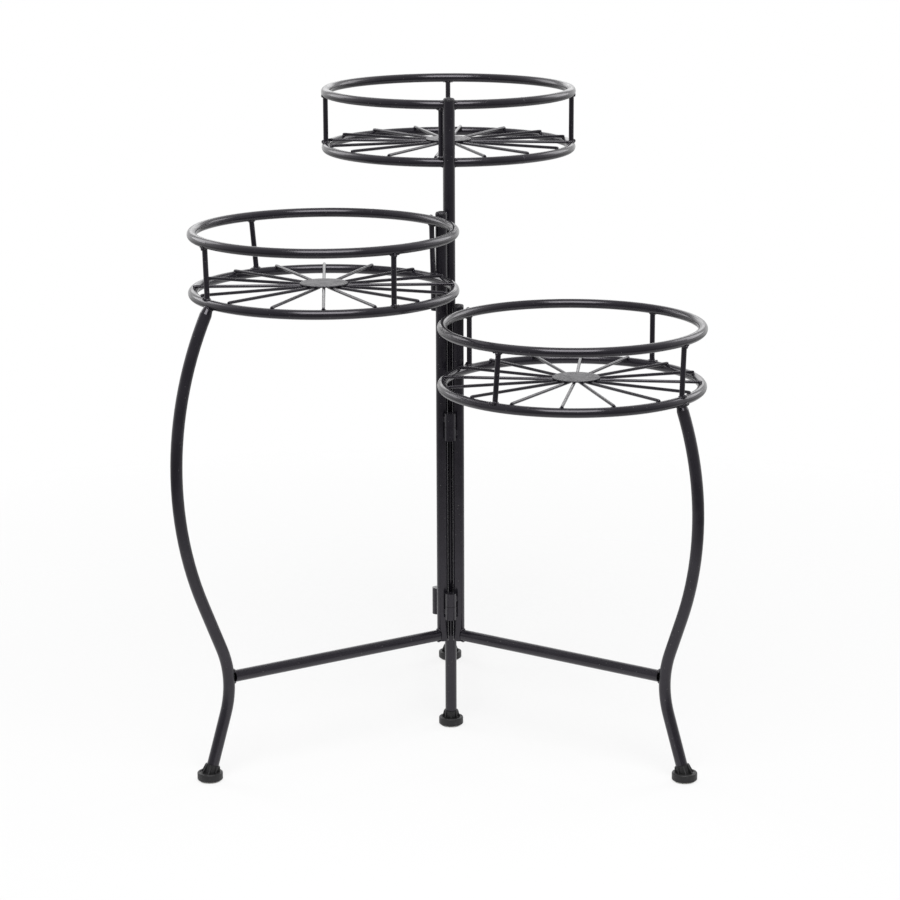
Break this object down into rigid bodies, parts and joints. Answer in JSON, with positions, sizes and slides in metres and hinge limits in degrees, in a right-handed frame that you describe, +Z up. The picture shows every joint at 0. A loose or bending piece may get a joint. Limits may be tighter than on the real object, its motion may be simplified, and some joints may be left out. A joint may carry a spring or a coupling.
{
  "type": "tiered plant stand",
  "caption": "Folding tiered plant stand: round wire baskets at stepped heights on posts joined by barrel hinges, each with a bowed leg and a level brace.",
  "frame": {"origin": "on the floor at the axis of the tall post, the middle of the underside of its glide", "axes": "+Z up, +Y from the tall post towards its own basket, +X to the right towards the low basket"},
  "size_m": [0.5301, 0.5568, 0.666],
  "materials": {
    "powder_coated_steel": "satin charcoal-black powder coat",
    "cap_plastic": "smooth black moulding",
    "foot_plastic": "black moulding",
    "glide_plastic": "off-white pad",
    "pin_steel": "bare steel"
  },
  "bodies": {
    "tall_section": {"tall_post": "powder_coated_steel", "tall_post_cap": "cap_plastic", "tall_upper_ring": "powder_coated_steel", "tall_lower_ring": "powder_coated_steel", "tall_basket_uprights": "powder_coated_steel", "tall_spoke_wires": "powder_coated_steel", "tall_centre_disc": "powder_coated_steel", "tall_leg": "powder_coated_steel", "tall_brace": "powder_coated_steel", "tall_leg_foot": "foot_plastic", "tall_leg_glide": "glide_plastic", "tall_post_foot": "foot_plastic", "tall_post_glide": "glide_plastic", "rear_upper_hinge_top_knuckle": "powder_coated_steel", "rear_lower_hinge_bottom_knuckle": "powder_coated_steel", "rear_lower_hinge_pin": "pin_steel"},
    "mid_section": {"mid_post": "powder_coated_steel", "mid_post_cap": "cap_plastic", "mid_upper_ring": "powder_coated_steel", "mid_lower_ring": "powder_coated_steel", "mid_basket_uprights": "powder_coated_steel", "mid_spoke_wires": "powder_coated_steel", "mid_centre_disc": "powder_coated_steel", "mid_leg": "powder_coated_steel", "mid_brace": "powder_coated_steel", "mid_leg_foot": "foot_plastic", "mid_leg_glide": "glide_plastic", "rear_upper_hinge_bottom_knuckle": "powder_coated_steel", "rear_upper_hinge_pin": "pin_steel", "rear_lower_hinge_top_knuckle": "powder_coated_steel", "front_upper_hinge_top_knuckle": "powder_coated_steel", "front_lower_hinge_bottom_knuckle": "powder_coated_steel", "front_lower_hinge_pin": "pin_steel"},
    "low_section": {"low_post": "powder_coated_steel", "low_post_cap": "cap_plastic", "low_upper_ring": "powder_coated_steel", "low_lower_ring": "powder_coated_steel", "low_basket_uprights": "powder_coated_steel", "low_spoke_wires": "powder_coated_steel", "low_centre_disc": "powder_coated_steel", "low_leg": "powder_coated_steel", "low_brace": "powder_coated_steel", "low_leg_foot": "foot_plastic", "low_leg_glide": "glide_plastic", "front_upper_hinge_bottom_knuckle": "powder_coated_steel", "front_upper_hinge_pin": "pin_steel", "front_lower_hinge_top_knuckle": "powder_coated_steel"}
  },
  "joints": [
    {"name": "mid_fold", "type": "hinge", "parent": "tall_section", "child": "mid_section", "pos_m": [-0.01358, -0.0018, 0.3], "axis": [0, 0, 1], "range_deg": [-123.9, 10]},
    {"name": "low_fold", "type": "hinge", "parent": "mid_section", "child": "low_section", "pos_m": [0, -0.02532, 0.234], "axis": [0, 0, 1], "range_deg": [-109.7, 10]}
  ]
}
